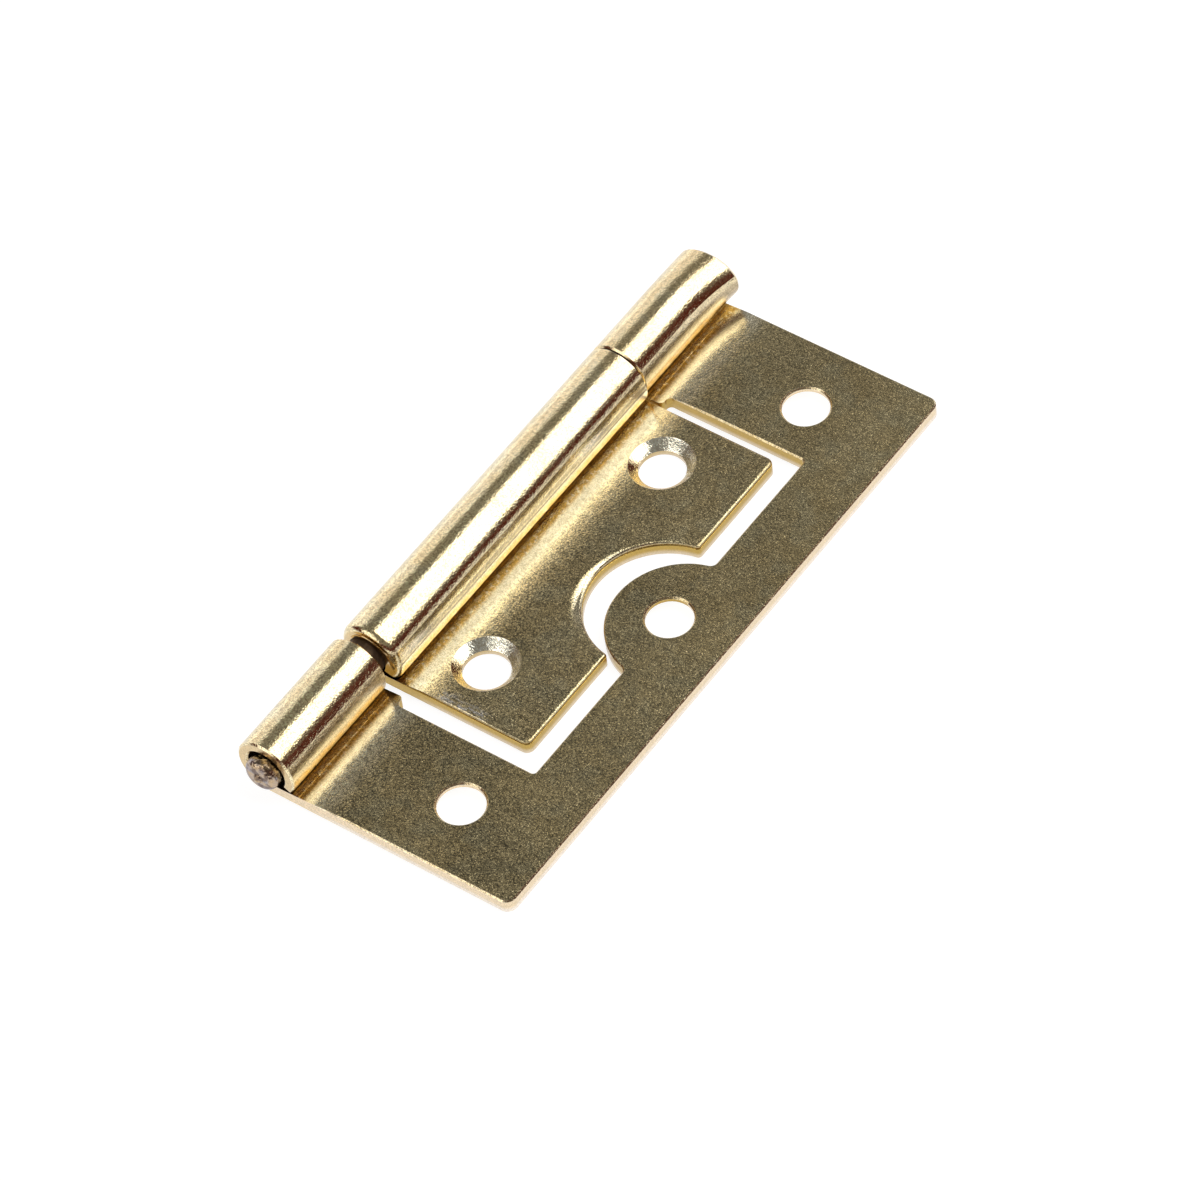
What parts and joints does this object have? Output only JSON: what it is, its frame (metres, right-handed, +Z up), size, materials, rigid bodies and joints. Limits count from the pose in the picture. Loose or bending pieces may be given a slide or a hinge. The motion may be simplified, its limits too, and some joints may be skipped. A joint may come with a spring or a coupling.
{
  "type": "flush hinge",
  "caption": "Flush hinge: a C-shaped leaf with a window, an inner leaf that folds into it with a notch for the tab, and a staked pin through rolled knuckles.",
  "frame": {"origin": "middle of the overall box, on the plane the leaves rest on", "axes": "+Y along the pin towards the end without the stub, +X from the pin towards the leaf's free edge, +Z up on the side the barrel stands on"},
  "size_m": [0.0264, 0.0622, 0.0054],
  "materials": {
    "outer_leaf": "satin brass plate on steel",
    "inner_leaf": "satin brass plate on steel",
    "hinge_pin": "cut and peened wire"
  },
  "bodies": {
    "outer_leaf": {"outer_leaf": "outer_leaf", "hinge_pin": "hinge_pin"},
    "inner_leaf": {"inner_leaf": "inner_leaf"}
  },
  "joints": [
    {"name": "leaf_swing", "type": "hinge", "parent": "outer_leaf", "child": "inner_leaf", "pos_m": [-0.01049, 0.00013, 0.00272], "axis": [0, -1, 0], "continuous": true}
  ]
}
